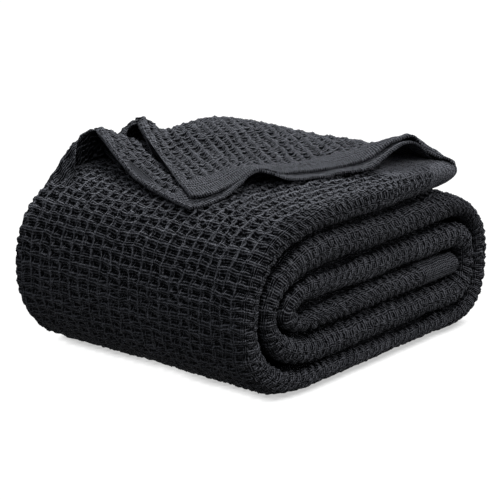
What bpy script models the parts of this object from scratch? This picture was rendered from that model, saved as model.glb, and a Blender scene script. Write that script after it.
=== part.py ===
"""Waffle weave cotton blanket: folded lengthwise into a strip of eight layers, rolled flat into
six runs, with the two top layers of the free end pulled back across the top of the bundle.

Metres, +Z up. X runs along the strip across the end face, Y along the axis of the roll, and the
bundle rests on Z = 0 with its free end at +X.
"""
import math

import bmesh
import bpy
import numpy as np

for item in list(bpy.data.objects):
    bpy.data.objects.remove(item, do_unlink=True)

# ---- driving sizes --------------------------------------------------------------------------
STRIP = 0.286            # width of the folded strip, along the axis of the roll
SLIT = 0.0024            # air between neighbouring runs
LAYER = 0.0048           # one loose layer of the cloth
SINK = 0.0012            # how far a loose layer sits into what it lies on
PIVOT = 0.0016           # radius of the first fold, round the end of the innermost slit
HEM_ROUND = 0.010        # how far the hemmed end of the core rounds off
NOTCH = 0.0035           # how far the turn below the free end falls away from it
EDGE_RADIUS = 0.0125     # rounding of the top run's fold edges

RUN_STEPS = 8            # stations along one flat run
LAST_STEPS = 12          # stations along the last run, on top
TURN_STEPS = 13          # stations round one turn
GAP_STEPS = 3            # stations over which the slit fades where a run comes out to the skin
END_ANGLES = (0.45, 0.9, 1.25)   # where the rings lie that round off each end of the strip
EDGE_STEPS = 5           # points round each rounded fold edge of the strip
SPAN_STEPS = 6           # points across the strip between its fold edges
SHEET_COLUMNS = 26       # points across a loose layer
SHEET_ROWS = 20          # points from its hem to its back

# One row for each boundary between runs, from the core out to the skin: heights of its lower and
# upper flat part, reach of its left and right turn, how far each turn runs back into the flats,
# how square each turn is below and above, and how much the upper flat sags half way. Two sets: at
# the near fold edge and at the far one.
NEAR_LAPS = {
    "inner": dict(low=0.0500, high=0.1069, left=-0.1360, right=0.1690, left_run=0.068,
                  right_run=0.036, left_power=(2.1, 2.1), right_power=(2.7, 2.9), sag=0.0015),
    "outer": dict(low=0.0182, high=0.1434, left=-0.1610, right=0.1690, left_run=0.092,
                  right_run=0.036, left_power=(2.2, 2.1), right_power=(2.7, 2.9), sag=0.0022),
    "skin": dict(low=0.0000, high=0.1672, left=-0.1890, right=0.1897, left_run=0.096,
                 right_run=0.084, left_power=(2.5, 2.1), right_power=(3.0, 1.9), sag=0.0015),
}
FAR_LAPS = {
    "inner": dict(low=0.0500, high=0.1069, left=-0.1360, right=0.1690, left_run=0.068,
                  right_run=0.036, left_power=(2.1, 2.1), right_power=(2.7, 2.9), sag=0.0010),
    "outer": dict(low=0.0182, high=0.1434, left=-0.1610, right=0.1690, left_run=0.092,
                  right_run=0.036, left_power=(2.2, 2.3), right_power=(2.7, 2.9), sag=0.0015),
    "skin": dict(low=0.0000, high=0.1680, left=-0.1897, right=0.1897, left_run=0.098,
                 right_run=0.084, left_power=(2.3, 2.6), right_power=(3.0, 1.9), sag=0.0010),
}
CORE = dict(slit=0.0778, left=-0.1060, right=0.1462, run=0.0145, power=(2.2, 2.2))
FREE_END = dict(near_top=0.1490, near_under=0.0900, far_top=0.1300, far_under=0.1200,
                droop=0.008, lean=-0.25)

# Plans of the two loose layers, as the corners of their four edges in X and Y.
LOWER_PLAN = dict(
    hem=[(-0.137, -0.038), (-0.112, -0.050), (-0.063, -0.050), (-0.020, -0.077), (0.030, -0.096),
         (0.062, -0.107), (0.090, -0.113), (0.108, -0.130), (0.145, -0.133)],
    left=[(-0.137, -0.038), (-0.119, 0.016), (-0.109, 0.057), (-0.097, 0.088), (-0.090, 0.104),
          (-0.116, 0.112), (-0.138, 0.119), (-0.156, 0.128), (-0.163, 0.139)],
    back=[(-0.163, 0.139), (-0.060, 0.141), (0.060, 0.141), (0.122, 0.136)],
    right=[(0.145, -0.133), (0.138, -0.060), (0.128, 0.040), (0.122, 0.136)],
)
UPPER_PLAN = dict(
    hem=[(-0.129, -0.035), (-0.107, -0.040), (-0.060, -0.048), (-0.029, -0.059), (0.006, -0.077),
         (0.044, -0.090), (0.066, -0.097), (0.092, -0.111), (0.108, -0.127), (0.145, -0.131)],
    left=[(-0.129, -0.035), (-0.089, 0.031), (-0.060, 0.065), (-0.042, 0.097), (-0.032, 0.115),
          (-0.045, 0.126), (-0.052, 0.139)],
    back=[(-0.052, 0.139), (0.000, 0.141), (0.060, 0.141), (0.120, 0.137)],
    right=[(0.145, -0.131), (0.136, -0.060), (0.126, 0.040), (0.120, 0.137)],
)
# Ridges: start x and y, end x and y, height at start and end, width at start and end.
LOWER_RIDGES = [
    (-0.098, 0.060, -0.083, 0.139, 0.000, 0.027, 0.020, 0.036),
    (0.088, -0.118, 0.102, -0.050, 0.018, 0.001, 0.026, 0.040),
    (0.088, -0.118, 0.150, -0.131, 0.018, 0.000, 0.026, 0.024),
    (-0.068, -0.052, -0.062, -0.010, 0.005, 0.000, 0.016, 0.030),
]
UPPER_RIDGES = [
    (-0.060, 0.060, -0.021, 0.137, 0.000, 0.023, 0.020, 0.026),
    (0.088, -0.116, 0.102, -0.050, 0.022, 0.001, 0.027, 0.042),
    (0.088, -0.116, 0.150, -0.131, 0.022, 0.001, 0.027, 0.026),
    (-0.066, -0.050, -0.058, -0.008, 0.006, 0.000, 0.018, 0.030),
    (0.030, 0.122, 0.095, 0.118, 0.004, 0.003, 0.040, 0.040),
]
LEFT_FOOT = dict(start=-0.132, end=-0.160, sink=0.0060)   # where the lower layer joins the side


def half_turn(x_reach, run, z_from, z_to, power, steps):
    """Points of a turn from one flat to the next: a half superellipse that reaches to x_reach."""
    side = 1 if x_reach > 0 else -1
    middle, rise = (z_from + z_to) / 2, (z_to - z_from) / 2
    angles = np.linspace(-math.pi / 2, math.pi / 2, steps)
    below, above = power
    power = np.where((angles < 0) == (rise > 0), below, above)
    across = np.abs(np.cos(angles)) ** (2 / power)
    up = np.sign(np.sin(angles)) * np.abs(np.sin(angles)) ** (2 / power)
    return np.stack([x_reach - side * run * (1 - across), middle + rise * up], axis=1)


def flat(x_from, x_to, height, steps, sag=0.0, fall=0.0):
    """Points of a flat run without its two ends, lower by sag half way and by fall at its end."""
    share = np.linspace(0, 1, steps + 2)[1:-1]
    drop = sag * np.sin(math.pi * share) ** 2 + fall * share ** 4
    return np.stack([x_from + (x_to - x_from) * share, height - drop], axis=1)


def strip_sides(laps):
    """The two sides of the strip, station by station from the core's hem to the free end."""
    inner, outer, skin = laps["inner"], laps["outer"], laps["skin"]
    n, m = RUN_STEPS, TURN_STEPS
    slit = CORE["slit"]
    pivot_x = CORE["left"]

    core_turn = half_turn(CORE["right"], CORE["run"], slit, inner["low"], CORE["power"], m)
    pivot = half_turn(pivot_x - PIVOT, PIVOT, slit - PIVOT, slit + PIVOT, (2.0, 2.0), m)
    inner_left = half_turn(inner["left"], inner["left_run"], inner["low"], inner["high"],
                           inner["left_power"], m)
    outer_left = half_turn(outer["left"], outer["left_run"], outer["low"], outer["high"],
                           outer["left_power"], m)
    skin_left = half_turn(skin["left"], skin["left_run"], skin["low"], skin["high"],
                          skin["left_power"], m)
    inner_right = half_turn(inner["right"], inner["right_run"], inner["high"], outer["low"],
                            inner["right_power"], m)
    skin_right = half_turn(skin["right"], skin["right_run"], outer["high"] - NOTCH, skin["low"],
                           skin["right_power"], m)

    def between(start, end, height, sag=0.0, fall=0.0):
        return flat(start[0], end[0], height, n, sag, fall)

    hem_x = CORE["right"] - HEM_ROUND - SLIT / 2
    inside = [
        [(hem_x, slit)], between((hem_x,), pivot[0], slit), pivot,
        between(pivot[-1], core_turn[0], slit), core_turn,
        between(core_turn[-1], inner_left[0], inner["low"]), inner_left,
        between(inner_left[-1], inner_right[0], inner["high"], inner["sag"]), inner_right,
        between(inner_right[-1], outer_left[0], outer["low"]), outer_left,
    ]
    outside = [
        [(hem_x, inner["low"])], between((hem_x,), inner_left[0], inner["low"]), inner_left,
        between(inner_left[-1], inner_right[0], inner["high"], inner["sag"]), inner_right,
        between(inner_right[-1], outer_left[0], outer["low"]), outer_left,
        between(outer_left[-1], skin_right[0], outer["high"], outer["sag"], NOTCH), skin_right,
        between(skin_right[-1], skin_left[0], skin["low"]), skin_left,
    ]
    return inside, outside, outer_left[-1], skin_left[-1]


def free_run(laps, start_under, start_top, end_under, end_top):
    """The last run on top, whose end leans out over the turn below and droops."""
    outer, skin = laps["outer"], laps["skin"]
    share = np.linspace(0, 1, LAST_STEPS + 1)[1:]
    under = np.stack([start_under[0] + (end_under - start_under[0]) * share,
                      outer["high"] - outer["sag"] * np.sin(math.pi * share) ** 2], axis=1)
    top = np.stack([start_top[0] + (end_top - start_top[0]) * share,
                    skin["high"] - skin["sag"] * np.sin(math.pi * share) ** 2
                    - FREE_END["droop"] * share ** 6], axis=1)
    return under, top


def sides(laps, end_under, end_top):
    """The two sides of the whole strip at one fold edge, free end included."""
    inside, outside, last_under, last_top = strip_sides(laps)
    under, top = free_run(laps, last_under, last_top, end_under, end_top)
    return np.concatenate(inside + [under]), np.concatenate(outside + [top])


near_in, near_out = sides(NEAR_LAPS, FREE_END["near_under"], FREE_END["near_top"])
far_in, far_out = sides(FAR_LAPS, FREE_END["far_under"], FREE_END["far_top"])
STATIONS = len(near_in)
SKIN_START = 1 + 4 * RUN_STEPS + 3 * TURN_STEPS   # first station whose outer side is the skin
# The slit takes half its width from each side that faces another run, and none from the skin.
outer_gaps = SLIT / 2 * np.clip((SKIN_START - np.arange(STATIONS)) / GAP_STEPS + 1, 0, 1)
TOP_STATIONS = LAST_STEPS + TURN_STEPS // 2       # stations from the left reach over the top


def toward_far(y):
    """0 at the near fold edge, 1 at the far one, easing in and out."""
    share = np.clip(y / STRIP + 0.5, 0, 1)
    return share * share * (3 - 2 * share)


def strip_ring(i):
    """One closed section across the strip: flat on both sides and rounded at both fold edges."""
    angles = np.linspace(-math.pi / 2, math.pi / 2, EDGE_STEPS + 2)
    near_half = np.linalg.norm(near_out[i] - near_in[i]) / 2
    far_half = np.linalg.norm(far_out[i] - far_in[i]) / 2
    near_y, far_y = -STRIP / 2 + near_half, STRIP / 2 - far_half
    spans = np.linspace(near_y, far_y, SPAN_STEPS + 2)[1:-1]
    path = [(near_y - near_half * math.cos(a), math.sin(a)) for a in angles]
    path += [(y, 1.0) for y in spans]
    path += [(far_y + far_half * math.cos(a), math.sin(a)) for a in angles[::-1]]
    path += [(y, -1.0) for y in spans[::-1]]
    ring = []
    for y, side in path:
        far = toward_far(y)
        inner = near_in[i] * (1 - far) + far_in[i] * far
        outer = near_out[i] * (1 - far) + far_out[i] * far
        facing = (outer - inner) / np.linalg.norm(outer - inner)
        inner, outer = inner + facing * SLIT / 2, outer - facing * outer_gaps[i]
        x, z = (inner + outer) / 2 + (outer - inner) / 2 * side
        ring.append((x, y, z))
    return np.array(ring)


def end_rings(ring, toward, depth):
    """Rings that round off one end of the strip, the last one small enough to close."""
    centre = ring.mean(axis=0)
    rings = []
    for angle in END_ANGLES:
        shrunk = centre + (ring - centre) * np.array([1, 1, math.cos(angle)])
        middle = ring.mean(axis=0)[1]
        pull = depth * (1 - math.cos(angle)) / STRIP * 2
        shrunk[:, 1] = middle + (shrunk[:, 1] - middle) * (1 - pull)
        rings.append(shrunk + toward * depth * math.sin(angle))
    return rings


def mesh_object(name, points, faces):
    mesh = bpy.data.meshes.new(name)
    mesh.from_pydata([tuple(p) for p in points], [], faces)
    shape = bmesh.new()
    shape.from_mesh(mesh)
    bmesh.ops.recalc_face_normals(shape, faces=shape.faces)
    shape.to_mesh(mesh)
    shape.free()
    for face in mesh.polygons:
        face.use_smooth = True
    return bpy.data.objects.new(name, mesh)


def rolled_strip(name):
    """The whole strip as one closed solid, lofted through its sections."""
    rings = [strip_ring(i) for i in range(STATIONS)]
    start, end = rings[0], rings[-1]
    head = end_rings(start, np.array([1.0, 0, 0]), HEM_ROUND)[::-1]
    tail = end_rings(end, np.array([1.0, 0, FREE_END["lean"]]), HEM_ROUND / 2)
    rings = head + rings + tail
    count = len(rings[0])
    points = np.concatenate(rings + [head[0].mean(axis=0)[None], tail[-1].mean(axis=0)[None]])
    faces = []
    for i in range(len(rings) - 1):
        for j in range(count):
            k = (j + 1) % count
            faces.append((i * count + j, i * count + k, (i + 1) * count + k, (i + 1) * count + j))
    first, last = len(points) - 2, len(points) - 1
    base = (len(rings) - 1) * count
    for j in range(count):
        k = (j + 1) % count
        faces.append((first, k, j))
        faces.append((last, base + j, base + k))
    return mesh_object(name, points, faces)


def skin_top(x, y):
    """Height of the top of the rolled strip, with the rounding of its two fold edges."""
    near_top, far_top = near_out[-TOP_STATIONS:], far_out[-TOP_STATIONS:]
    far = toward_far(y)
    top = (np.interp(x, near_top[:, 0], near_top[:, 1]) * (1 - far)
           + np.interp(x, far_top[:, 0], far_top[:, 1]) * far)
    edge = np.clip(np.abs(y) - (STRIP / 2 - EDGE_RADIUS), 0, EDGE_RADIUS)
    return top - EDGE_RADIUS + np.sqrt(EDGE_RADIUS ** 2 - edge ** 2)


def ridges(x, y, table):
    """Height of soft ridges, each a line from start to end with a height and a width at both."""
    total = np.zeros_like(x)   # fourth powers, so that where two meet the higher one rules
    for x0, y0, x1, y1, high0, high1, wide0, wide1 in table:
        run_x, run_y = x1 - x0, y1 - y0
        length = math.hypot(run_x, run_y)
        share = np.clip(((x - x0) * run_x + (y - y0) * run_y) / length ** 2, 0, 1)
        away = np.hypot(x - x0 - share * run_x, y - y0 - share * run_y)
        share = share * share * (3 - 2 * share)
        high = high0 + (high1 - high0) * share
        wide = wide0 + (wide1 - wide0) * share
        total += (high * np.exp(-((away / wide) ** 2))) ** 4
    return total ** 0.25


def along(rows, share):
    """Points at these shares of the length of a line given by its corners."""
    rows = np.array(rows)
    steps = np.concatenate([[0], np.cumsum(np.linalg.norm(np.diff(rows, axis=0), axis=1))])
    steps /= steps[-1]
    return np.stack([np.interp(share, steps, rows[:, c]) for c in range(2)], axis=1)


def cotton(name, colour, roughness):
    material = bpy.data.materials.new(name)
    material.use_nodes = True
    shader = material.node_tree.nodes["Principled BSDF"]
    shader.inputs["Base Color"].default_value = (*colour, 1.0)
    shader.inputs["Roughness"].default_value = roughness
    shader.inputs["Metallic"].default_value = 0.0
    material.diffuse_color = (*colour, 1.0)
    return material


def loose_layer(name, plan, rises, lift):
    """A thin sheet over the plan between its four edges, following what it lies on."""
    u, v = np.linspace(0, 1, SHEET_COLUMNS), np.linspace(0, 1, SHEET_ROWS)
    hem, back = along(plan["hem"], u), along(plan["back"], u)
    left, right = along(plan["left"], v), along(plan["right"], v)
    uu, vv = np.meshgrid(u, v)
    uu, vv = uu[..., None], vv[..., None]
    grid = ((1 - vv) * hem[None] + vv * back[None] + (1 - uu) * left[:, None] + uu * right[:, None]
            - (1 - uu) * (1 - vv) * hem[0] - uu * (1 - vv) * hem[-1]
            - (1 - uu) * vv * back[0] - uu * vv * back[-1])
    x, y = grid[..., 0], grid[..., 1]
    foot = np.clip((x - LEFT_FOOT["start"]) / (LEFT_FOOT["end"] - LEFT_FOOT["start"]), 0, 1)
    z = skin_top(x, y) + lift + ridges(x, y, rises) - LEFT_FOOT["sink"] * foot
    top = np.stack([x, y, z + LAYER / 2], axis=-1).reshape(-1, 3)
    under = np.stack([x, y, z - LAYER / 2], axis=-1).reshape(-1, 3)
    faces = []
    count = len(top)
    for r in range(SHEET_ROWS - 1):
        for c in range(SHEET_COLUMNS - 1):
            a = r * SHEET_COLUMNS + c
            quad = (a, a + 1, a + 1 + SHEET_COLUMNS, a + SHEET_COLUMNS)
            faces.append(quad)
            faces.append(tuple(count + i for i in quad[::-1]))
    across = list(range(SHEET_COLUMNS))
    rim = across + [r * SHEET_COLUMNS + SHEET_COLUMNS - 1 for r in range(1, SHEET_ROWS)]
    rim += [(SHEET_ROWS - 1) * SHEET_COLUMNS + c for c in across[-2::-1]]
    rim += [r * SHEET_COLUMNS for r in range(SHEET_ROWS - 2, 0, -1)]
    for a, b in zip(rim, rim[1:] + rim[:1]):
        faces.append((b, a, count + a, count + b))
    return mesh_object(name, np.concatenate([top, under]), faces)


collection = bpy.data.collections.new("waffle_blanket")
joined = bpy.data.collections.new("joined_layers")
bpy.context.scene.collection.children.link(collection)
bpy.context.scene.collection.children.link(joined)

blanket = rolled_strip("blanket")
collection.objects.link(blanket)
blanket.data.materials.append(cotton("charcoal_cotton", (0.050, 0.053, 0.062), 0.95))
for name, plan, rises, lift in (
    ("lower_layer", LOWER_PLAN, LOWER_RIDGES, LAYER / 2 - SINK),
    ("upper_layer", UPPER_PLAN, UPPER_RIDGES, LAYER * 1.5 - 2 * SINK),
):
    layer = loose_layer(name, plan, rises, lift)
    layer.hide_render = True
    layer.display_type = "WIRE"
    joined.objects.link(layer)
    union = blanket.modifiers.new("with " + name, "BOOLEAN")
    union.operation = "UNION"
    union.solver = "EXACT"
    union.object = layer
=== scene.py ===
"""Looks of the waffle weave cotton blanket: the rolled strip and its two loose layers with their
waffle relief, on a pale floor in soft light. Metres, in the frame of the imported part."""
import math

import bpy
import numpy as np
from mathutils import Matrix, Vector


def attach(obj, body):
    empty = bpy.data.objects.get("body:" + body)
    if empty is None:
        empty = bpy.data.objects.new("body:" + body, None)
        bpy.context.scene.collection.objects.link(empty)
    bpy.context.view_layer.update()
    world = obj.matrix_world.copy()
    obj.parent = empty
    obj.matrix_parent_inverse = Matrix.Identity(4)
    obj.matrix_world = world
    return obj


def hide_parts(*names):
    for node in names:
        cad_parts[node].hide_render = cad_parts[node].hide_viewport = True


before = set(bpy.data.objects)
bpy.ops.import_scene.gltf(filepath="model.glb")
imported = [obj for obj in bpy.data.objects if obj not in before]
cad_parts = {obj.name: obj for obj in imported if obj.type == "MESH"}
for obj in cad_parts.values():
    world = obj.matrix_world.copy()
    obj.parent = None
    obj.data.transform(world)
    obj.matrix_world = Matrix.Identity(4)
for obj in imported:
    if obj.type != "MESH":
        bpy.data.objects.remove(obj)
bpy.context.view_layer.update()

# ---- sizes of the rolled strip ----------------------------------------------------------------
STRIP = 0.286            # width of the folded strip, along the axis of the roll
SLIT = 0.0046            # air between neighbouring runs, wider than the 0.0024 of the solid
PIVOT = 0.0016           # radius of the first fold, round the end of the innermost slit
HEM_ROUND = 0.010        # how far the hemmed end of the core rounds off
NOTCH = 0.0035           # how far the turn below the free end falls away from it
EDGE_RADIUS = 0.0125     # rounding of the top run's fold edges
RUN_STEPS = 40           # path points along one flat run
LAST_STEPS = 60          # path points along the last run, on top
TURN_STEPS = 121         # path points round one turn

# ---- sizes of the weave ------------------------------------------------------------------------
CELL_ALONG = 0.0098      # waffle cell along the strip
CELL_TURN = 0.0107       # the same round the outside of a turn, where the cloth is stretched
CELLS_WIDE = 25          # cells across the strip, from fold edge to fold edge
RELIEF = 0.0050          # from the bottom of a pit to the top of a ridge
CREST = 0.0007           # how far the ridges stand over the strip's own surface
BAND = 0.050             # depth of the plain woven band at the core's end of the strip
END_BAND = 0.041         # the same at the free end, round the fold edges
TOP_BAND = 0.088         # and on its top face
BAND_FADE = 0.004        # length over which a plain band goes over into the waffle
RIB_PITCH = 0.0042       # fine ribs of the plain bands
LOOSE_ALONG = 0.0122     # waffle cell of the loose layers away from their end hem
LOOSE_ACROSS = 0.0116    # and along it
LOOSE_BAND = 0.038       # depth of their plain band
SIDE_HEM = 0.0046        # width of the side hem
SIDE_ROWS = 0.0070       # where the first ridge beside it runs
LOOSE_RELIEF = 0.0060    # from pit to ridge on the loose layers
LOOSE_THICK = 0.0022     # thickness of their cloth
FINE = np.array([0.0, 0.09, 0.19, 0.32, 0.5, 0.68, 0.81, 0.91])   # mesh lines inside a cell
HALF_FINE = np.array([0.0, 0.2, 0.5, 0.8])
FUZZ = 0.00034           # roughness of the yarns in the waffle
BAND_FUZZ = 0.00010      # and in the plain bands
EDGE_CELLS = 3           # finely meshed cells round a fold edge where the rest is hidden
CAP_RINGS = 7            # rings that round off an end of the strip
YARNS_ALONG = 4          # yarns to a cell, which the cloth's coordinates count
YARNS_ACROSS = 5
PLAIN_LIE = 0.50         # how the yarns lie in a plain band, as in yarn_lie

# Ridges of the weave: widths as shares of a half cell, and how sharp they are.
NARROW = 0.44            # along the strip
BROAD = 0.93             # across it
ZIGZAG = 0.09            # how far the broad ridges swing from side to side, in cells
SHARP = 1.15
TOP_THINNER = 0.17       # on the top face the broad ridges are thinner
TOP_SHARPER = 0.3        # and all are sharper
LOOSE_WIDTHS = dict(edge=0.0, narrow=0.60, broad=0.64, zigzag=0.0)
LOOSE_SHARP = 1.5

# Where the strip lies in the slits the relief is pressed down and its colour darkened, as painted
# shade in the slits:
# from how far off a fold edge, in cells, and sooner round the left turns.
SLIT_PAINTED_SHADE = dict(start=1.7, fade=0.4, amount=0.7, left_sooner=0.35, left_x=-0.12, left_fade=0.05)

# Heights on the loose layers.
LOOSE_SKIN = 0.0013      # of the weave's middle over the sheet's middle
LOOSE_MIDDLE = 0.62      # and the level of the relief that lies there
BEAD = 0.0009            # how much the side hem stands out
RIM = 0.0016             # width over which the sheet's edges round off
UNDER_SINK = 0.0022      # how far the lower layer gives way under the upper one
HUG_SINK = 0.0018        # how far both settle onto the near corner of the free end

NEAR_LAPS = {
    "inner": dict(low=0.0500, high=0.1069, left=-0.1360, right=0.1690, left_run=0.068,
                  right_run=0.036, left_power=(2.1, 2.1), right_power=(2.7, 2.9), sag=0.0015),
    "outer": dict(low=0.0182, high=0.1434, left=-0.1610, right=0.1690, left_run=0.092,
                  right_run=0.036, left_power=(2.2, 2.1), right_power=(2.7, 2.9), sag=0.0022),
    "skin": dict(low=0.0000, high=0.1672, left=-0.1890, right=0.1897, left_run=0.096,
                 right_run=0.084, left_power=(2.5, 2.1), right_power=(3.0, 1.9), sag=0.0015),
}
FAR_LAPS = {
    "inner": dict(low=0.0500, high=0.1069, left=-0.1360, right=0.1690, left_run=0.068,
                  right_run=0.036, left_power=(2.1, 2.1), right_power=(2.7, 2.9), sag=0.0010),
    "outer": dict(low=0.0182, high=0.1434, left=-0.1610, right=0.1690, left_run=0.092,
                  right_run=0.036, left_power=(2.2, 2.3), right_power=(2.7, 2.9), sag=0.0015),
    "skin": dict(low=0.0000, high=0.1680, left=-0.1897, right=0.1897, left_run=0.098,
                 right_run=0.084, left_power=(2.3, 2.6), right_power=(3.0, 1.9), sag=0.0010),
}
CORE = dict(slit=0.0778, left=-0.1060, right=0.1462, run=0.0145, power=(2.2, 2.2))
FREE_END = dict(near_top=0.1485, near_under=0.0900, far_top=0.1320, far_under=0.1200,
                near_droop=0.0045, far_droop=0.0115, lean=-0.25)

# Plans of the two loose layers: their end hem and their side hem, as corners in X and Y.
LOWER = dict(
    hem=[(-0.143, -0.041), (-0.129, -0.051), (-0.115, -0.056), (-0.094, -0.055), (-0.071, -0.053),
         (-0.060, -0.053), (-0.050, -0.061), (-0.039, -0.069), (-0.013, -0.075), (0.019, -0.084),
         (0.037, -0.0925), (0.056, -0.1005), (0.0675, -0.1034), (0.079, -0.106),
         (0.093, -0.110), (0.102, -0.1135), (0.111, -0.1147), (0.123, -0.1135),
         (0.1345, -0.1128), (0.1405, -0.1175), (0.1435, -0.127)],
    side=[(-0.143, -0.041), (-0.1405, -0.021), (-0.1355, 0.0025), (-0.1315, 0.0225),
          (-0.125, 0.043), (-0.1185, 0.0585), (-0.113, 0.074), (-0.107, 0.0895), (-0.097, 0.109),
          (-0.0805, 0.1345), (-0.074, 0.150), (-0.070, 0.190)],
    lift=0.0028, flank=0.062, lip=0.180, lip_start=0.019, lip_slope=2.0, seen=0.055,
)
UPPER = dict(
    hem=[(-0.1315, -0.0325), (-0.123, -0.042), (-0.110, -0.0485), (-0.078, -0.048),
         (-0.0605, -0.0525), (-0.043, -0.0535), (-0.029, -0.054), (-0.0105, -0.061),
         (0.019, -0.0725), (0.0395, -0.079), (0.0525, -0.0845), (0.068, -0.0915), (0.084, -0.0977),
         (0.099, -0.1055), (0.108, -0.1110), (0.117, -0.1145), (0.1265, -0.1165),
         (0.1335, -0.1200), (0.1375, -0.127), (0.1390, -0.136)],
    side=[(-0.1315, -0.0325), (-0.1175, -0.0085), (-0.0985, 0.0195), (-0.071, 0.0595),
          (-0.051, 0.0915), (-0.0375, 0.114), (-0.0205, 0.1345), (-0.012, 0.150), (-0.009, 0.190)],
    lift=0.0058, flank=0.040, lip=0.186, lip_start=0.012, lip_slope=2.4, seen=1.0,
)
# Ridges: start x and y, end x and y, height at start and end, width at start and end, and how
# many times as wide the side on the right of the line is.
LOWER_RIDGES = [
    (-0.130, 0.035, -0.0885, 0.138, 0.003, 0.0270, 0.020, 0.041, 1.15),
    (0.096, -0.112, 0.105, -0.045, 0.0195, 0.001, 0.034, 0.040, 0.76),
    (-0.063, -0.057, -0.050, 0.000, 0.0120, 0.002, 0.027, 0.040, 1.0),
]
UPPER_RIDGES = [
    (-0.066, 0.070, -0.0200, 0.138, 0.002, 0.0235, 0.020, 0.036, 0.75),
    (0.100, -0.107, 0.108, -0.045, 0.0222, 0.001, 0.036, 0.040, 0.50),
    (0.106, -0.098, 0.147, -0.112, 0.0210, 0.0085, 0.010, 0.011, 1.0),
    (-0.061, -0.055, -0.048, 0.000, 0.0115, 0.002, 0.024, 0.036, 1.0),
    (0.020, 0.090, 0.078, 0.095, 0.0090, 0.0085, 0.045, 0.045, 1.0),
]
ROWS = (0.958, -0.285)   # direction of the weave's rows on the loose layers
LEFT_FOOT = dict(start=-0.118, end=-0.150, sink=0.0110)   # where the lower layer joins the side
# Where the loose layers turn down over the free end and over the far fold edge.
OVER_END = dict(near=0.1350, far=0.1235, radius=0.0085, near_turn=1.50, far_turn=1.60, reach=0.013)
OVER_FAR = dict(y=0.1305, radius=0.0115, turn=1.75, reach=0.026)
OVER_NEAR = dict(y=-0.1200, radius=0.0120, turn=1.40)     # and over the near one, by the free end


# ---- small helpers -----------------------------------------------------------------------------
def smooth(t):
    t = np.clip(t, 0, 1)
    return t * t * (3 - 2 * t)


def noise(x, y, seed):
    """Smooth random values from -1 to 1 that change over about one unit of x and y. Each use has
    a seed of its own, so that no two share a pattern."""
    table = np.random.default_rng(seed).uniform(-1, 1, (64, 64))
    x, y = np.broadcast_arrays(np.asarray(x, float), np.asarray(y, float))
    i, j = np.floor(x).astype(int), np.floor(y).astype(int)
    u, v = smooth(x - i), smooth(y - j)
    i0, i1, j0, j1 = i % 64, (i + 1) % 64, j % 64, (j + 1) % 64
    low = table[i0, j0] * (1 - u) + table[i1, j0] * u
    high = table[i0, j1] * (1 - u) + table[i1, j1] * u
    return low * (1 - v) + high * v


def ridge(t, width=0.50, power=2.6):
    """1 on the ridge between two cells, near 0 in the middle of a cell."""
    away = np.abs(t - np.round(t)) * 2
    return np.exp(-((away / width) ** power))


def waffle(a, b, edge=0.0, narrow=NARROW, broad=BROAD, zigzag=ZIGZAG):
    """Relief of the weave from 0 in the pits to 1 on the ridges. a and b count cells: the ridges
    that run along the cloth are narrow, the ones across it broad. Round a fold edge (edge 1) the
    cells are drawn out into wavy ribs across it."""
    bent = zigzag * np.sin(2 * math.pi * b) + (0.12 + 0.20 * edge) * noise(a * 0.7, b * 1.9, 5)
    one = ridge(a + bent, broad, 3.2)
    two = ridge(b + 0.12 * noise(a * 1.9, b * 0.7, 6), narrow) * (1 - 0.55 * edge)
    one = one * (0.82 + 0.13 * noise(a * 1.6, b * 1.6, 3))
    two = two * (0.92 + 0.14 * noise(a * 1.6, b * 1.6, 4))
    pit = 0.02 + 0.20 * noise(a + 0.5, b + 0.5, 7)    # some pits are shallower than others
    return ((one ** 5 + two ** 5 + pit.clip(0, 1) ** 5) ** 0.2).clip(0, 1.0)


def yarn_lie(a, b):
    """0 where the yarns on top run across the cloth, 1 where they run along it."""
    one, two = ridge(a) + 0.12, ridge(b, 0.40) + 0.04
    return two / (one + two)


def normals(grid):
    first = np.gradient(grid, axis=0)
    second = np.gradient(grid, axis=1)
    cross = np.cross(first, second)
    return cross / np.maximum(np.linalg.norm(cross, axis=-1, keepdims=True), 1e-12)


# ---- path of the strip -------------------------------------------------------------------------
def half_turn(x_reach, run, z_from, z_to, power, steps):
    """Points of a turn from one flat to the next: a half superellipse that reaches to x_reach."""
    side = 1 if x_reach > 0 else -1
    middle, rise = (z_from + z_to) / 2, (z_to - z_from) / 2
    angles = np.linspace(-math.pi / 2, math.pi / 2, steps)
    below, above = power
    power = np.where((angles < 0) == (rise > 0), below, above)
    across = np.abs(np.cos(angles)) ** (2 / power)
    up = np.sign(np.sin(angles)) * np.abs(np.sin(angles)) ** (2 / power)
    return np.stack([x_reach - side * run * (1 - across), middle + rise * up], axis=1)


def flat(x_from, x_to, height, sag=0.0, fall=0.0):
    """Points of a flat run without its two ends, lower by sag half way and by fall at its end."""
    share = np.linspace(0, 1, RUN_STEPS + 2)[1:-1]
    drop = sag * np.sin(math.pi * share) ** 2 + fall * share ** 4
    return np.stack([x_from + (x_to - x_from) * share, height - drop], axis=1)


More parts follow.
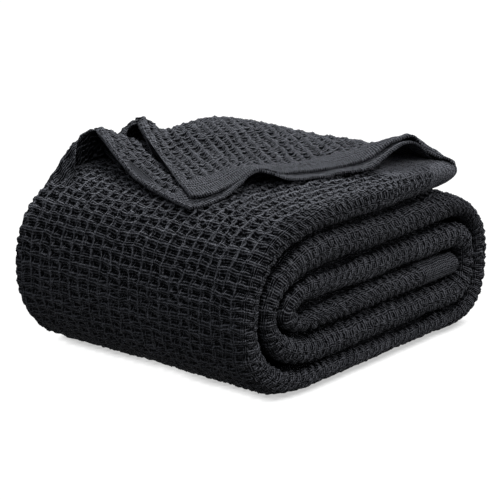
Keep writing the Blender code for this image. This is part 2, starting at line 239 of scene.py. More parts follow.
def strip_sides(laps, end_under, end_top, droop):
    """The two sides of the strip, point by point from the core's hem to the free end."""
    inner, outer, skin = laps["inner"], laps["outer"], laps["skin"]
    m = TURN_STEPS
    slit = CORE["slit"]
    pivot_x = CORE["left"]
    core_turn = half_turn(CORE["right"], CORE["run"], slit, inner["low"], CORE["power"], m)
    pivot = half_turn(pivot_x - PIVOT, PIVOT, slit - PIVOT, slit + PIVOT, (2.0, 2.0), m)
    inner_left = half_turn(inner["left"], inner["left_run"], inner["low"], inner["high"],
                           inner["left_power"], m)
    outer_left = half_turn(outer["left"], outer["left_run"], outer["low"], outer["high"],
                           outer["left_power"], m)
    skin_left = half_turn(skin["left"], skin["left_run"], skin["low"], skin["high"],
                          skin["left_power"], m)
    inner_right = half_turn(inner["right"], inner["right_run"], inner["high"], outer["low"],
                            inner["right_power"], m)
    skin_right = half_turn(skin["right"], skin["right_run"], outer["high"] - NOTCH, skin["low"],
                           skin["right_power"], m)

    def between(start, end, height, sag=0.0, fall=0.0):
        return flat(start[0], end[0], height, sag, fall)

    hem_x = CORE["right"] - HEM_ROUND - SLIT / 2
    inside = [
        [(hem_x, slit)], between((hem_x,), pivot[0], slit), pivot,
        between(pivot[-1], core_turn[0], slit), core_turn,
        between(core_turn[-1], inner_left[0], inner["low"]), inner_left,
        between(inner_left[-1], inner_right[0], inner["high"], inner["sag"]), inner_right,
        between(inner_right[-1], outer_left[0], outer["low"]), outer_left,
    ]
    outside = [
        [(hem_x, inner["low"])], between((hem_x,), inner_left[0], inner["low"]), inner_left,
        between(inner_left[-1], inner_right[0], inner["high"], inner["sag"]), inner_right,
        between(inner_right[-1], outer_left[0], outer["low"]), outer_left,
        between(outer_left[-1], skin_right[0], outer["high"], outer["sag"], NOTCH), skin_right,
        between(skin_right[-1], skin_left[0], skin["low"]), skin_left,
    ]
    share = np.linspace(0, 1, LAST_STEPS + 1)[1:]
    start_under, start_top = outer_left[-1], skin_left[-1]
    under = np.stack([start_under[0] + (end_under - start_under[0]) * share,
                      outer["high"] - outer["sag"] * np.sin(math.pi * share) ** 2], axis=1)
    top = np.stack([start_top[0] + (end_top - start_top[0]) * share,
                    skin["high"] - skin["sag"] * np.sin(math.pi * share) ** 2
                    - droop * share ** 7], axis=1)
    return np.concatenate(inside + [under]), np.concatenate(outside + [top])


near_in, near_out = strip_sides(NEAR_LAPS, FREE_END["near_under"], FREE_END["near_top"],
                                FREE_END["near_droop"])
far_in, far_out = strip_sides(FAR_LAPS, FREE_END["far_under"], FREE_END["far_top"],
                              FREE_END["far_droop"])
POINTS = len(near_in)
SKIN_START = 1 + 4 * RUN_STEPS + 3 * TURN_STEPS     # first path point whose outer side is the skin
UNDER_START = SKIN_START + TURN_STEPS               # the run on the floor
LEFT_START = UNDER_START + RUN_STEPS                # the last left turn
TOP_START = LEFT_START + TURN_STEPS // 2            # from the left reach over the top
fade = (SKIN_START - np.arange(POINTS)) / 12 + 1
gap_out = SLIT / 2 * np.clip(fade, 0, 1)            # no slit is taken from the skin


def length_of(line):
    return np.concatenate([[0], np.cumsum(np.linalg.norm(np.diff(line, axis=0), axis=1))])


middle_length = length_of((near_in + near_out + far_in + far_out) / 4)
outer_length = length_of((near_out + far_out) / 2)
# Cells are counted along the middle of the strip inside the roll and along its outside on the skin.
travel = np.where(np.arange(POINTS) < SKIN_START, middle_length,
                  middle_length[SKIN_START] + outer_length - outer_length[SKIN_START])
TURN_MIDDLE = travel[LEFT_START + TURN_STEPS // 2]
TURN_HALF = 0.125        # half the length over which the outermost turn stretches the cells
turning = 1 - smooth((np.abs(travel - TURN_MIDDLE) - TURN_HALF) / 0.05 + 0.5)
pitch = CELL_ALONG + (CELL_TURN - CELL_ALONG) * turning
cells_run = np.concatenate([[0], np.cumsum(np.diff(travel) / ((pitch[1:] + pitch[:-1]) / 2))])


def at(s, values):
    if values.ndim == 1:
        return np.interp(s, travel, values)
    return np.stack([np.interp(s, travel, values[:, c]) for c in range(values.shape[1])], axis=1)


def toward_far(y):
    """0 at the near fold edge, 1 at the far one, easing in and out."""
    return smooth(y / STRIP + 0.5)


def strip_surface(s, t):
    """Points of the strip's surface. t counts cells: up to CELLS_WIDE on the outer side from the
    near fold edge to the far one, and from there back on the inner side."""
    ni, no, fi, fo = (at(s, line)[:, None, :] for line in (near_in, near_out, far_in, far_out))
    gap = at(s, gap_out)[:, None]
    near_half = np.linalg.norm(no - ni, axis=-1) / 2
    far_half = np.linalg.norm(fo - fi, axis=-1) / 2
    outer_side = t <= CELLS_WIDE
    share = np.where(outer_side, t, 2 * CELLS_WIDE - t)[None, :] / CELLS_WIDE
    quarter_near, quarter_far = near_half * math.pi / 2, far_half * math.pi / 2
    near_y, far_y = -STRIP / 2 + near_half, STRIP / 2 - far_half
    total = quarter_near + (far_y - near_y) + quarter_far
    run = share * total
    angle_near = np.clip(run / near_half, 0, math.pi / 2)
    angle_far = np.clip((total - run) / far_half, 0, math.pi / 2)
    y = np.where(run < quarter_near, near_y - near_half * np.cos(angle_near),
                 np.where(total - run < quarter_far, far_y + far_half * np.cos(angle_far),
                          near_y + run - quarter_near))
    side = np.sin(np.where(run < quarter_near, angle_near, angle_far))
    side = side * np.where(outer_side, 1.0, -1.0)[None, :]
    far = toward_far(y)[..., None]
    inner, outer = ni * (1 - far) + fi * far, no * (1 - far) + fo * far
    facing = outer - inner
    facing /= np.linalg.norm(facing, axis=-1, keepdims=True)
    inner, outer = inner + facing * SLIT / 2, outer - facing * gap[..., None]
    place = (inner + outer) / 2 + (outer - inner) / 2 * side[..., None]
    return np.stack([place[..., 0], y, place[..., 1]], axis=-1)


END = travel[-1]
TOP_TRAVEL = travel[TOP_START]
SKIN_TRAVEL = travel[SKIN_START]


def end_band_depth(t):
    """The band at the free end is deeper on the top face than round the fold edges."""
    return END_BAND + (TOP_BAND - END_BAND) * smooth((t - 1.3) / 1.2) * (1 - smooth((t - 22) / 1.5))


def strip_relief(lines, s, t, points):
    """How far the surface stands out at each point, and the relief from 0 to 1 for its colour,
    which carries painted shade in the slits and painted light under the arch at the free end.
    """
    a, b = lines[:, None], t[None, :]
    step = np.linalg.norm(np.gradient(points, axis=0), axis=-1)
    packed = np.clip(step / np.gradient(s)[:, None] * 1.6 - 0.2, 0, 1)
    from_edge = np.minimum(np.abs(b - CELLS_WIDE), np.minimum(b, 2 * CELLS_WIDE - b))
    edge = 1 - smooth((from_edge - 0.9) / 1.4)
    on_top = smooth((s - TOP_TRAVEL) / 0.03)[:, None] * (b < CELLS_WIDE)
    cells = waffle(a, b, edge, broad=BROAD - TOP_THINNER * on_top) ** (SHARP + TOP_SHARPER * on_top)
    core_band = smooth((BAND - s[:, None]) / BAND_FADE + 0.5)
    end_band = smooth((s[:, None] - (END - end_band_depth(b))) / BAND_FADE + 0.5)
    core_ribs = 0.68 + 0.12 * np.cos(2 * math.pi * b * 4)
    end_ribs = 0.70 + 0.12 * np.cos(2 * math.pi * s[:, None] / RIB_PITCH)
    # painted light: from 1 to 8 cells off the near fold edge the end band lies under the arch of
    # the loose layers, and its level, and with it its colour, is raised there; the relief rises
    # with it
    end_ribs = end_ribs + 0.40 * smooth((b - 1.0) / 2) * (1 - smooth((b - 8) / 4))
    level = cells * (1 - core_band - end_band) + core_ribs * core_band + end_ribs * end_band
    # painted shade in the slits: deep in a slit between covered runs the level, and with it the
    # colour, is darkened, and the relief sinks with it
    covered = np.where(b < CELLS_WIDE, smooth((SKIN_TRAVEL - s[:, None]) / 0.02), 1.0)
    slit_shade = SLIT_PAINTED_SHADE
    left = 1 - smooth((points[..., 0] - slit_shade["left_x"]) / slit_shade["left_fade"])
    depth = from_edge - slit_shade["start"] + slit_shade["left_sooner"] * left
    level = level * (1 - slit_shade["amount"] * covered * smooth(depth / slit_shade["fade"]))
    size = RELIEF * packed * (1 + 0.10 * noise(a / 4, b / 4, 11))
    out = size * (1 - 0.35 * edge) * (level - 1) + CREST
    return out, level


def cell_lines(first, last, offsets, pitch=1.0):
    """Mesh lines from first to last, at the same places in every cell."""
    cells = np.arange(math.floor(first / pitch) - 1, math.ceil(last / pitch) + 1)
    lines = ((cells[:, None] + offsets[None, :]) * pitch).ravel()
    lines = lines[(lines > first + 0.08 * pitch) & (lines < last - 0.08 * pitch)]
    return np.concatenate([[first], lines, [last]])


def joined_lines(*parts):
    lines = [parts[0]]
    for part in parts[1:]:
        lines.append(part[1:])
    return np.concatenate(lines)


def wandered(points, a, b, amount=0.15):
    """The grid with its lines moved a little along the surface, as the yarns lie."""
    along = np.gradient(points, axis=0) / np.gradient(a)[:, None, None]
    across = np.gradient(points, axis=1) / np.gradient(b)[None, :, None]
    aa, bb = a[:, None], b[None, :]
    first = amount * (noise(aa / 1.3, bb / 1.1, 8) + 0.5 * noise(aa / 5, bb / 5, 9))
    second = amount * (noise(aa / 1.1, bb / 1.3, 12) + 0.5 * noise(aa / 5, bb / 5, 13))
    rim = np.minimum(np.minimum(aa - a[0], a[-1] - aa), np.minimum(bb - b[0], b[-1] - bb))
    hold = np.clip(rim, 0, 1)
    return points + along * (first * hold)[..., None] + across * (second * hold)[..., None]


def uneven(points, out, amount=0.0009):
    """Soft waves of the cloth along its own surface."""
    x, y, z = points[..., 0], points[..., 1], points[..., 2]
    wave = noise(x / 0.045 + 7, (y + z) / 0.06 + 3, 21) + 0.5 * noise(x / 0.02, (y - z) / 0.025, 22)
    return out + amount * wave


# ---- meshes ------------------------------------------------------------------------------------
def mesh_piece(name, points, quads, level, lie, uv, material, triangles=()):
    mesh = bpy.data.meshes.new(name)
    corners = np.asarray(quads, np.int64)
    extra = np.asarray(triangles, np.int64).reshape(-1, 3)
    mesh.vertices.add(len(points))
    mesh.vertices.foreach_set("co", np.asarray(points, np.float32).ravel())
    mesh.loops.add(corners.size + extra.size)
    mesh.loops.foreach_set("vertex_index", np.concatenate([corners.ravel(), extra.ravel()]))
    mesh.polygons.add(len(corners) + len(extra))
    starts = np.concatenate([np.arange(len(corners)) * 4,
                             corners.size + np.arange(len(extra)) * 3])
    mesh.polygons.foreach_set("loop_start", starts)
    mesh.update(calc_edges=True)
    mesh.validate()
    mesh.polygons.foreach_set("use_smooth", np.ones(len(mesh.polygons), bool))
    for kind, values in (("relief", level), ("lie", lie)):
        shade = mesh.attributes.new(kind, "FLOAT", "POINT")
        shade.data.foreach_set("value", np.asarray(values, np.float32).ravel())
    loops = np.empty(len(mesh.loops), np.int32)
    mesh.loops.foreach_get("vertex_index", loops)
    layer = mesh.uv_layers.new(name="cloth")
    layer.data.foreach_set("uv", np.asarray(uv, np.float32)[loops].ravel())
    mesh.materials.append(material)
    piece = bpy.data.objects.new(name, mesh)
    bpy.context.scene.collection.objects.link(piece)
    return piece


def end_cap(ring, toward, depth):
    """Rings that round off one end of the strip, the last one small enough to close."""
    centre = ring.mean(axis=0)
    made = []
    for angle in np.linspace(0, math.pi / 2, CAP_RINGS + 2)[1:-1]:
        shrunk = centre + (ring - centre) * np.array([1, 1, math.cos(angle)])
        pull = depth * (1 - math.cos(angle)) / STRIP * 2
        shrunk[:, 1] = centre[1] + (shrunk[:, 1] - centre[1]) * (1 - pull)
        made.append(shrunk + toward * depth * math.sin(angle))
    return made


def strip_piece(name, lines, t, material, head=None, tail=None):
    """One closed stretch of the strip between two counts of cells along it, with a rounded end
    where head or tail gives one."""
    s = np.interp(lines, cells_run, travel)
    points = strip_surface(s, t)
    out, level = strip_relief(lines, s, t, points)
    lie = yarn_lie(lines[:, None], t[None, :])
    facing = normals(points)
    outward = np.sign((facing[:, 5] * np.array([0, -1.0, 0])).sum(axis=-1).mean()) or 1.0
    band = (smooth((BAND - s) / BAND_FADE + 0.5)
            + smooth((s - (END - END_BAND)) / BAND_FADE + 0.5))
    band = np.clip(band, 0, 1)
    lie = lie * (1 - band[:, None]) + PLAIN_LIE * band[:, None]
    fuzz = np.random.default_rng(77).normal(0, 1, out.shape).clip(-2, 2)
    moved = uneven(points, out) + fuzz * (FUZZ - (FUZZ - BAND_FUZZ) * band[:, None])
    points = wandered(points, lines, t) + facing * outward * moved[..., None]
    points[..., 2] = np.maximum(points[..., 2], 0.0)
    count = len(t)
    rings, levels, lies, along = list(points), list(level), list(lie), list(lines)
    if head:
        for ring in end_cap(points[0], np.array(head[0]), head[1]):
            rings.insert(0, ring)
            levels.insert(0, level[0])
            lies.insert(0, lie[0])
            along.insert(0, along[0] - head[1] / (CAP_RINGS + 1) / CELL_ALONG)
    if tail:
        for ring in end_cap(points[-1], np.array(tail[0]), tail[1]):
            rings.append(ring)
            levels.append(level[-1])
            lies.append(lie[-1])
            along.append(along[-1] + tail[1] / (CAP_RINGS + 1) / CELL_ALONG)
    rows = len(rings)
    # The ring is open at t = 0, so that the cloth's coordinates have no jump there.
    index = np.arange(rows * count).reshape(rows, count)
    a, b = index[:-1, :-1], index[:-1, 1:]
    c, d = index[1:, 1:], index[1:, :-1]
    quads = np.stack([a, b, c, d], axis=-1).reshape(-1, 4)
    if outward < 0:
        quads = quads[:, ::-1]
    flat_points = np.concatenate([np.array(rings).reshape(-1, 3),
                                  rings[0].mean(axis=0)[None], rings[-1].mean(axis=0)[None]])
    uv = np.stack(np.broadcast_arrays(np.array(along)[:, None] * YARNS_ALONG,
                                      t[None, :] * YARNS_ACROSS), axis=-1).reshape(-1, 2)
    uv = np.concatenate([uv, uv[:1], uv[-1:]])
    levels = np.concatenate([np.array(levels).ravel(), [0.6, 0.6]])
    lies = np.concatenate([np.array(lies).ravel(), [0.5, 0.5]])
    first, last = rows * count, rows * count + 1
    ends = []
    for j in range(count - 1):
        ends.append((first, index[0, j + 1], index[0, j]))
        ends.append((last, index[-1, j], index[-1, j + 1]))
    ends = np.array(ends)
    if outward < 0:
        ends = ends[:, ::-1]
    return mesh_piece(name, flat_points, quads, levels, lies, uv, material, ends)


def skin_top(x, y):
    """Height of the top of the rolled strip, with the rounding of its two fold edges."""
    near_top, far_top = near_out[TOP_START:], far_out[TOP_START:]
    far = toward_far(y)
    top = (np.interp(x, near_top[:, 0], near_top[:, 1]) * (1 - far)
           + np.interp(x, far_top[:, 0], far_top[:, 1]) * far)
    edge = np.clip(np.abs(y) - (STRIP / 2 - EDGE_RADIUS), 0, EDGE_RADIUS)
    return top - EDGE_RADIUS + np.sqrt(EDGE_RADIUS ** 2 - edge ** 2)


def ridges(x, y, table):
    """Height of soft ridges, each a line from start to end with a height and a width at both."""
    total = np.zeros_like(x)   # high powers, so that where two meet the higher one rules
    for x0, y0, x1, y1, high0, high1, wide0, wide1, right in table:
        run_x, run_y = x1 - x0, y1 - y0
        length = math.hypot(run_x, run_y)
        share = np.clip(((x - x0) * run_x + (y - y0) * run_y) / length ** 2, 0, 1)
        away = np.hypot(x - x0 - share * run_x, y - y0 - share * run_y)
        share = smooth(share)
        high = high0 + (high1 - high0) * share
        wide = wide0 + (wide1 - wide0) * share
        across = ((x - x0) * run_y - (y - y0) * run_x) / length
        wide = wide * (1 + (right - 1) * smooth(across / 0.012))
        total += (high * np.exp(-((away / wide) ** 2))) ** 8
    return total ** 0.125


def soft_line(corners, blur=0.008):
    """A line through the corners with its bends rounded: (lengths, points)."""
    corners = np.array(corners)
    steps = length_of(corners)
    dense = np.linspace(0, steps[-1], 400)
    line = np.stack([np.interp(dense, steps, corners[:, c]) for c in range(2)], axis=1)
    width = max(1, int(blur / (dense[1] - dense[0])))
    kernel = np.hanning(2 * width + 3)[1:-1]
    kernel /= kernel.sum()
    start, end = line[0], line[-1]
    padded = np.concatenate([2 * start - line[width:0:-1], line, 2 * end - line[-2:-width - 2:-1]])
    line = np.stack([np.convolve(padded[:, c], kernel, mode="valid") for c in range(2)], axis=1)
    return length_of(line), line


def loose_lines(flank, hem_length, side_length):
    """Mesh lines of a loose layer: p along its end hem from the side hem, q away from the hem.
    Behind the side hem, where p is below 0, the flank goes down on the left."""
    rim = np.array([0.0, 0.0003, 0.0008, 0.0016, 0.0030, 0.0050, 0.0070])
    p = np.concatenate([-cell_lines(0, flank, FINE, LOOSE_ACROSS)[:0:-1], rim,
                        SIDE_ROWS + cell_lines(0, hem_length - SIDE_ROWS, FINE, LOOSE_ACROSS)])
    band = np.concatenate([rim, np.linspace(0.0140, LOOSE_BAND - 0.003, 10)])
    q = np.concatenate([band, LOOSE_BAND + cell_lines(0, side_length - LOOSE_BAND, FINE,
                                                      LOOSE_ALONG)])
    return p, q


def loose_plan(plan, hem_line, side_line, p, q, seed):
    """Where each point of a loose layer lies in X and Y before it turns down, whether it is part
    of the layer, and where the flank's edge runs."""
    hem_run, hem = hem_line
    side_run, side = side_line
    pp, qq = np.meshgrid(p, q)
    lip = plan["lip"] - plan["lip_slope"] * np.maximum(-pp - plan["lip_start"], 0)
    keep = (pp >= 0) | (qq >= lip)
    place = np.where(pp < 0, np.maximum(qq, lip), qq)
    flat_xy = np.stack([np.interp(place, side_run, side[:, c]) for c in range(2)], axis=-1)
    # near the hem the rows follow it, farther off they run straight
    on_hem = np.stack([np.interp(p, hem_run, hem[:, c]) for c in range(2)], axis=1)
    on_hem += np.minimum(p, 0)[:, None] * ((hem[12] - hem[0]) / hem_run[12])
    straight = hem[0] + p[:, None] * np.array(ROWS)
    near_hem = np.exp(-q / 0.05)[:, None, None]
    row = on_hem * near_hem + straight * (1 - near_hem)
    flat_xy = flat_xy + np.where(pp[..., None] < 0, straight, row) - hem[0]
    # small scallops along the end hem, and slack in the cloth
    pull = 0.0008 * noise(pp / 0.008, 0.5, seed) + 0.0010 * noise(pp / 0.022, 2.5, seed)
    flat_xy[..., 1] += pull * np.exp(-qq / 0.012)
    return flat_xy[..., 0], flat_xy[..., 1], keep, lip


def turned_down(x, y, lift):
    """The layer's X and Y where it turns down beyond the free end, the far fold edge and the near
    one, how far down it is, where it left the top, the distances beyond the first two, and
    whether the layer still reaches there."""
    far = toward_far(y)
    end_x = OVER_END["near"] * (1 - far) + OVER_END["far"] * far
    beyond_x, beyond_y = np.maximum(x - end_x, 0), np.maximum(y - OVER_FAR["y"], 0)
    reached = (beyond_x <= OVER_END["reach"]) & (beyond_y <= OVER_FAR["reach"])
    beyond_x = np.minimum(beyond_x, OVER_END["reach"])
    beyond_y = np.minimum(beyond_y, OVER_FAR["reach"])
    radius = OVER_END["radius"] + lift
    turned = OVER_END["near_turn"] * (1 - far) + OVER_END["far_turn"] * far
    angle = np.minimum(beyond_x / radius, turned)
    rest = beyond_x - radius * angle
    x0, y0 = np.minimum(x, end_x), np.minimum(y, OVER_FAR["y"])
    base_x = x0 + radius * np.sin(angle) + rest * np.cos(angle)
    end_down = radius * (1 - np.cos(angle)) + rest * np.sin(angle)
    angle = np.minimum(beyond_y / OVER_FAR["radius"], OVER_FAR["turn"])
    rest = beyond_y - OVER_FAR["radius"] * angle
    base_y = y0 + OVER_FAR["radius"] * np.sin(angle) + rest * np.cos(angle)
    far_down = OVER_FAR["radius"] * (1 - np.cos(angle)) + rest * np.sin(angle)
    before = np.maximum(OVER_NEAR["y"] - y, 0)
    radius = OVER_NEAR["radius"] + lift
    angle = np.minimum(before / radius, OVER_NEAR["turn"])
    base_y = np.where(before > 0, OVER_NEAR["y"] - radius * np.sin(angle), base_y)
    near_down = radius * (1 - np.cos(angle)) + (before - radius * angle) * np.sin(angle)
    down = np.sqrt(end_down ** 2 + far_down ** 2 + near_down ** 2)
    y0 = np.maximum(y0, OVER_NEAR["y"])
    return base_x, base_y, down, x0, y0, beyond_x, beyond_y, reached


def sheet_faces(keep):
    """Faces of a sheet over the kept cells of its grid: top, under side and the walls between."""
    rows, columns = keep.shape
    count = rows * columns
    index = np.arange(count).reshape(rows, columns)
    quads = np.stack([index[:-1, :-1], index[:-1, 1:], index[1:, 1:], index[1:, :-1]], axis=-1)
    quads = quads[keep[:-1, :-1] | keep[:-1, 1:] | keep[1:, 1:] | keep[1:, :-1]]
    edges = np.concatenate([quads[:, [0, 1]], quads[:, [1, 2]], quads[:, [2, 3]], quads[:, [3, 0]]])
    low_high = np.sort(edges, axis=1)
    key = low_high[:, 0].astype(np.int64) * rows * columns + low_high[:, 1]
    _, where, times = np.unique(key, return_index=True, return_counts=True)
    border = edges[where[times == 1]]
    walls = np.stack([border[:, 1], border[:, 0], border[:, 0] + count, border[:, 1] + count],
                     axis=-1)
    return np.concatenate([quads, quads[:, ::-1] + count, walls])


def loose_layer(name, plan, rises, material, seed):
    """A thin sheet of the cloth laid over the top, with its end hem and its side hem."""
    hem_line, side_line = soft_line(plan["hem"]), soft_line(plan["side"])
    p, q = loose_lines(plan["flank"], hem_line[0][-1], side_line[0][-1])
    pp, qq = np.meshgrid(p, q)
    x, y, keep, lip = loose_plan(plan, hem_line, side_line, p, q, seed)
    base_x, base_y, down, x0, y0, beyond_x, beyond_y, reached = turned_down(x, y, plan["lift"])
    keep &= reached

    # height: on the strip, over the ridges, down at the left foot and close to the free end
    foot = np.clip((x - LEFT_FOOT["start"]) / (LEFT_FOOT["end"] - LEFT_FOOT["start"]), 0, 1)
    foot = foot * (pp < 0)
    lean = (1 - smooth(beyond_x / 0.024)) * (1 - smooth(beyond_y / 0.020))
    hug = 0.8 * smooth((x0 - 0.112) / 0.022) * smooth((-0.085 - y0) / 0.02)
    z = (skin_top(x0, y0) + plan["lift"] * (1 - hug) + ridges(x0, y0, rises) * lean
         - LEFT_FOOT["sink"] * foot - HUG_SINK * hug - down)
    free = (pp >= 0) * (1 - smooth((qq - plan["lip"]) / 0.02 + 0.5))
    z = z + 0.0012 * np.exp(-((pp / 0.010) ** 2)) * free
    z = (z + 0.0010 * noise(pp / 0.030, qq / 0.030, seed + 1)
         + 0.0012 * np.exp(-qq / 0.015) * noise(pp / 0.016, 1.5, seed + 2))
    middle = np.stack([base_x, base_y, z], axis=-1)
    facing = normals(middle)
    facing *= np.sign(facing[..., 2].mean())

    # weave, plain bands and how the yarns lie
    a, b = (qq - LOOSE_BAND) / LOOSE_ALONG, (pp - SIDE_ROWS) / LOOSE_ACROSS
    cells = waffle(a, b, **LOOSE_WIDTHS) ** LOOSE_SHARP
    side_hem = smooth((SIDE_HEM - pp) / BAND_FADE + 0.5) * (1 - smooth((qq - lip) / 0.006 + 0.5))
    plain = np.clip(smooth((LOOSE_BAND - qq) / BAND_FADE + 0.5) + side_hem, 0, 1)
    hem_ribs = 0.72 + 0.08 * np.cos(2 * math.pi * qq / RIB_PITCH)
    lie = yarn_lie(a, b) * 0.35 * (1 - plain) + PLAIN_LIE * plain
    # painted shade: on the flank behind the side hem, where p is below 0, the level, and with it
    # the colour, is held low and dark as the flank lies in shade; its relief is lower and flatter
    # with it
    cells = np.where(pp < 0, 0.04 + 0.52 * cells, cells)
    level = cells * (1 - plain) + hem_ribs * plain

    # the two sides of the sheet, rounded together at its edges
    from_side = np.where(pp < 0, qq - lip, np.where(qq > lip, 1.0, pp))
    rim_share = np.minimum(from_side, qq) / RIM
    round_off = np.sqrt(np.clip(1 - (1 - np.clip(rim_share, 0, 1)) ** 2, 0.0004, 1))
    fuzz = np.random.default_rng(seed + 5).normal(0, 1, pp.shape).clip(-2, 2)
    fuzz = fuzz * (FUZZ - (FUZZ - BAND_FUZZ) * plain)
    size = LOOSE_RELIEF * np.where(pp < 0, 0.7, 1.0)
    above = LOOSE_SKIN + BEAD * side_hem + fuzz + size * (level - LOOSE_MIDDLE)
    under_upper = smooth((pp - plan["seen"]) / 0.01) * smooth((qq - 0.03) / 0.01)
    above = above * (1 - under_upper) - UNDER_SINK * under_upper
    below = (LOOSE_THICK - above) * round_off
    above = above * round_off

    # the yarns slip a little along the sheet, but not at its edges
    steady = np.minimum(qq / LOOSE_ALONG, (pp - p[0]) / LOOSE_ACROSS) - 0.5
    steady = np.clip(steady, 0, 1) * (1 - plain)
    slip = [0.10 * steady * noise(a / 1.2, b / 1.2, seed + n) for n in (6, 7)]
    shift_q = np.gradient(middle, axis=0) / np.gradient(q)[:, None, None] * LOOSE_ALONG
    shift_p = np.gradient(middle, axis=1) / np.gradient(p)[None, :, None] * LOOSE_ACROSS
    middle = middle + shift_q * slip[0][..., None] + shift_p * slip[1][..., None]
    top, under = middle + facing * above[..., None], middle - facing * below[..., None]

    faces = sheet_faces(keep)
    points = np.concatenate([top.reshape(-1, 3), under.reshape(-1, 3)])
    uv = np.stack([a, b], axis=-1).reshape(-1, 2) * YARNS_ACROSS
    uv = np.concatenate([uv, uv])
    level, lie = np.tile(level.ravel(), 2), np.tile(lie.ravel(), 2)
    used = np.unique(faces)
    renumber = np.zeros(len(points), np.int64)
    renumber[used] = np.arange(len(used))
    return mesh_piece(name, points[used], renumber[faces], level[used], lie[used], uv[used],
                      material)


# ---- material ----------------------------------------------------------------------------------
def cotton(name):
    material = bpy.data.materials.new(name)
    material.use_nodes = True
    nodes, links = material.node_tree.nodes, material.node_tree.links
    shader = nodes["Principled BSDF"]
    shader.inputs["Roughness"].default_value = 0.92
    shader.inputs["Specular IOR Level"].default_value = 0.05
    shader.inputs["Sheen Weight"].default_value = 0.02
    shader.inputs["Sheen Roughness"].default_value = 0.45
    shader.inputs["Sheen Tint"].default_value = (0.62, 0.70, 0.82, 1.0)

    # painted shade in the pits: the relief runs through a ramp from near black in the pits to a
    # lighter grey on the ridges, standing in for the shade that falls into the waffle's pits
    relief = nodes.new("ShaderNodeAttribute")
    relief.attribute_name = "relief"
    pit_shade_ramp = nodes.new("ShaderNodeValToRGB")
    pit_shade_ramp.color_ramp.elements[0].position = 0.14
    pit_shade_ramp.color_ramp.elements[0].color = (0.0012, 0.0013, 0.0018, 1)
    pit_shade_ramp.color_ramp.elements[1].position = 1.0
    pit_shade_ramp.color_ramp.elements[1].color = (0.145, 0.147, 0.162, 1)
    middle = pit_shade_ramp.color_ramp.elements.new(0.62)
    middle.color = (0.035, 0.0358, 0.0408, 1)
    low = pit_shade_ramp.color_ramp.elements.new(0.38)
    low.color = (0.0075, 0.0078, 0.0092, 1)

    cloth = nodes.new("ShaderNodeUVMap")
    cloth.uv_map = "cloth"
    fibre = nodes.new("ShaderNodeTexNoise")
    fibre.inputs["Scale"].default_value = 0.98
    fibre.inputs["Detail"].default_value = 3.0
    fibre.inputs["Roughness"].default_value = 0.65
    links.new(cloth.outputs["UV"], fibre.inputs["Vector"])

    def maths(operation, value, number, added=None):
        node = nodes.new("ShaderNodeMath")
        node.operation = operation
        node.inputs[1].default_value = number
        links.new(value, node.inputs[0])
        if added is not None:
            links.new(added, node.inputs[2])
        return node.outputs["Value"]

    def stripes(direction):
        wave = nodes.new("ShaderNodeTexWave")
        wave.bands_direction = direction
        wave.inputs["Scale"].default_value = math.pi / 10     # one stripe to a yarn
        wave.inputs["Phase Offset"].default_value = math.pi   # with a yarn on every ridge
        wave.inputs["Distortion"].default_value = 3.2
        wave.inputs["Detail"].default_value = 2.0
        wave.inputs["Detail Scale"].default_value = 0.8
        links.new(cloth.outputs["UV"], wave.inputs["Vector"])
        return maths("POWER", wave.outputs["Fac"], 2.4)

    lie = nodes.new("ShaderNodeAttribute")
    lie.attribute_name = "lie"
    yarn = nodes.new("ShaderNodeMix")
    links.new(lie.outputs["Fac"], yarn.inputs["Factor"])
    links.new(stripes("X"), yarn.inputs["A"])
    links.new(stripes("Y"), yarn.inputs["B"])

    # yarns and fibres break up the light ridges and show in the dark pits
    ragged = maths("MULTIPLY_ADD", yarn.outputs["Result"], 1.20, relief.outputs["Fac"])
    fuzzy = maths("MULTIPLY_ADD", fibre.outputs["Fac"], 2.2, ragged)
    shown = nodes.new("ShaderNodeMapRange")
    shown.inputs["From Min"].default_value = 1.42
    shown.inputs["From Max"].default_value = 2.56
    links.new(fuzzy, shown.inputs["Value"])
    links.new(shown.outputs["Result"], pit_shade_ramp.inputs["Fac"])
    links.new(pit_shade_ramp.outputs["Color"], shader.inputs["Base Color"])

    both = maths("MULTIPLY_ADD", fibre.outputs["Fac"], 2.0, yarn.outputs["Result"])
    bump = nodes.new("ShaderNodeBump")
    bump.inputs["Strength"].default_value = 0.9
    bump.inputs["Distance"].default_value = 0.0016
    links.new(both, bump.inputs["Height"])
    links.new(bump.outputs["Normal"], shader.inputs["Normal"])
    return material


charcoal = cotton("charcoal_waffle_cotton")

# ---- the pieces --------------------------------------------------------------------------------
edge_fine = cell_lines(0, EDGE_CELLS, FINE)
far_fine = cell_lines(CELLS_WIDE - EDGE_CELLS, CELLS_WIDE, FINE)
inner_lines = joined_lines(
    cell_lines(CELLS_WIDE, CELLS_WIDE + EDGE_CELLS, FINE),
    np.linspace(CELLS_WIDE + EDGE_CELLS, 2 * CELLS_WIDE - EDGE_CELLS, 9),
    cell_lines(2 * CELLS_WIDE - EDGE_CELLS, 2 * CELLS_WIDE, FINE))
hidden_across = joined_lines(
    edge_fine, np.linspace(EDGE_CELLS, CELLS_WIDE - EDGE_CELLS, 9), far_fine, inner_lines)
shown_across = joined_lines(cell_lines(0, CELLS_WIDE, FINE), inner_lines)


def cell_at(point):
    return float(cells_run[point])


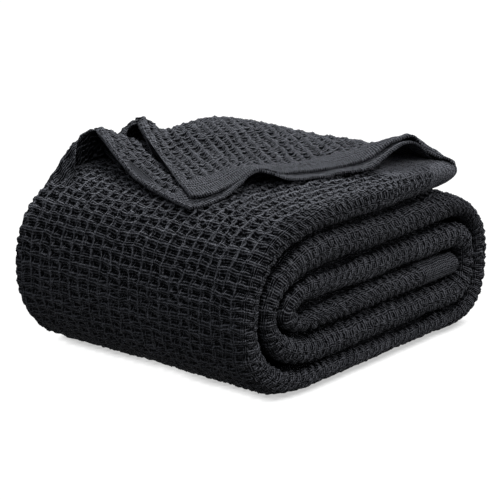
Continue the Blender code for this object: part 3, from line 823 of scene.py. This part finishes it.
skin_at = round(cell_at(SKIN_START)) + 0.5
core_at = round(skin_at * 0.45) + 0.5
left_at = round(cell_at(LEFT_START)) + 4.5          # a little way up the last left turn
floor_from, floor_to = cell_at(UNDER_START) + 1, cell_at(LEFT_START) - 1
core = strip_piece("rolled_core", cell_lines(0, core_at, FINE), hidden_across, charcoal,
                   head=((1.0, 0, 0), HEM_ROUND))
runs = strip_piece("rolled_inner_runs", cell_lines(core_at, skin_at, FINE), hidden_across,
                   charcoal)
right = strip_piece("rolled_right_turn", joined_lines(
    cell_lines(skin_at, floor_from, FINE), cell_lines(floor_from, floor_to, HALF_FINE),
    cell_lines(floor_to, left_at, FINE)), shown_across, charcoal)
left = strip_piece("rolled_left_turn", cell_lines(left_at, cell_at(-1), FINE), shown_across,
                   charcoal, tail=((1.0, 0, FREE_END["lean"]), HEM_ROUND / 2))
lower = loose_layer("loose_lower_layer", LOWER, LOWER_RIDGES, charcoal, 31)
upper = loose_layer("loose_upper_layer", UPPER, UPPER_RIDGES, charcoal, 41)

for piece in (core, runs, right, left, lower, upper):
    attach(piece, "root")
    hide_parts("blanket")

# ---- floor, light and camera -------------------------------------------------------------------
floor_mesh = bpy.data.meshes.new("floor")
FLOOR_REACH = 12.0
FLOOR_HEIGHT = -0.0004   # just under the blanket, so that no faces coincide
corners = [(x * FLOOR_REACH, y * FLOOR_REACH, FLOOR_HEIGHT)
           for x, y in ((-1, -1), (1, -1), (1, 1), (-1, 1))]
floor_mesh.from_pydata(corners, [], [(0, 1, 2, 3)])
floor = bpy.data.objects.new("floor", floor_mesh)
bpy.context.scene.collection.objects.link(floor)
paper = bpy.data.materials.new("pale_floor")
paper.use_nodes = True
paper_look = paper.node_tree.nodes["Principled BSDF"]
paper_look.inputs["Base Color"].default_value = (0.04, 0.04, 0.04, 1)
paper_look.inputs["Roughness"].default_value = 0.9
paper_look.inputs["Specular IOR Level"].default_value = 0.1
paper_look.inputs["Emission Color"].default_value = (1.0, 1.0, 1.0, 1)
# painted shadow: ambient occlusion within 8 mm of the blanket dims the floor's glow, giving a
# narrow contact shadow painted into its emission
contact = paper.node_tree.nodes.new("ShaderNodeAmbientOcclusion")   # the narrow contact shadow
contact.inputs["Distance"].default_value = 0.008
glow = paper.node_tree.nodes.new("ShaderNodeMapRange")
glow.inputs["From Min"].default_value = 0.30
glow.inputs["To Min"].default_value = 0.50
paper.node_tree.links.new(contact.outputs["AO"], glow.inputs["Value"])
paper.node_tree.links.new(glow.outputs["Result"], paper_look.inputs["Emission Strength"])
floor.visible_diffuse = False
floor_mesh.materials.append(paper)

world = bpy.data.worlds.new("studio")
world.use_nodes = True
sky, sky_links = world.node_tree.nodes, world.node_tree.links
where = sky.new("ShaderNodeTexCoord")
split = sky.new("ShaderNodeSeparateXYZ")
height = sky.new("ShaderNodeValToRGB")
height.color_ramp.elements[0].position = 0.0
height.color_ramp.elements[0].color = (0.03, 0.031, 0.033, 1)
height.color_ramp.elements[1].position = 0.6
height.color_ramp.elements[1].color = (0.45, 0.47, 0.50, 1)
sky_links.new(where.outputs["Generated"], split.inputs["Vector"])
sky_links.new(split.outputs["Z"], height.inputs["Fac"])
sky_links.new(height.outputs["Color"], sky["Background"].inputs["Color"])
sky["Background"].inputs["Strength"].default_value = 1.0
bpy.context.scene.world = world


def soft_light(name, place, target, size, power, colour):
    light = bpy.data.lights.new(name, "AREA")
    light.shape = "SQUARE"
    light.size = size
    light.energy = power
    light.color = colour
    item = bpy.data.objects.new(name, light)
    item.location = place
    aim = Vector(target) - Vector(place)
    item.rotation_mode = "QUATERNION"
    item.rotation_quaternion = aim.to_track_quat("-Z", "Y")
    bpy.context.scene.collection.objects.link(item)


soft_light("top_light", (0.75, 0.85, 1.3), (0, 0, 0.08), 0.5, 35.0, (0.96, 0.98, 1.0))
soft_light("front_light", (-0.15, -0.85, 1.9), (0, 0, 0.1), 0.6, 9.5, (1.0, 1.0, 1.0))
soft_light("end_light", (0.8, -1.7, 0.8), (0.05, -0.1, 0.08), 0.7, 13.5, (1.0, 1.0, 1.0))

CAMERA = dict(place=(-1.7111, -1.4066, 0.7504), azimuth=-50.4382, elevation=16.7626, lens=172.8)
lens = bpy.data.cameras.new("camera")
lens.lens = CAMERA["lens"]
lens.sensor_width = 36.0
lens.clip_start, lens.clip_end = 0.05, 60.0
camera = bpy.data.objects.new("camera", lens)
turn, tilt = math.radians(CAMERA["azimuth"]), math.radians(CAMERA["elevation"])
back = Vector((math.sin(turn) * math.cos(tilt), -math.cos(turn) * math.cos(tilt), math.sin(tilt)))
to_right = (-back).cross(Vector((0, 0, 1))).normalized()
upward = to_right.cross(-back)
camera.matrix_world = Matrix.Translation(CAMERA["place"]) @ Matrix(
    (to_right, upward, back)).transposed().to_4x4()
bpy.context.scene.collection.objects.link(camera)
bpy.context.scene.camera = camera
bpy.context.scene.view_settings.view_transform = "Standard"
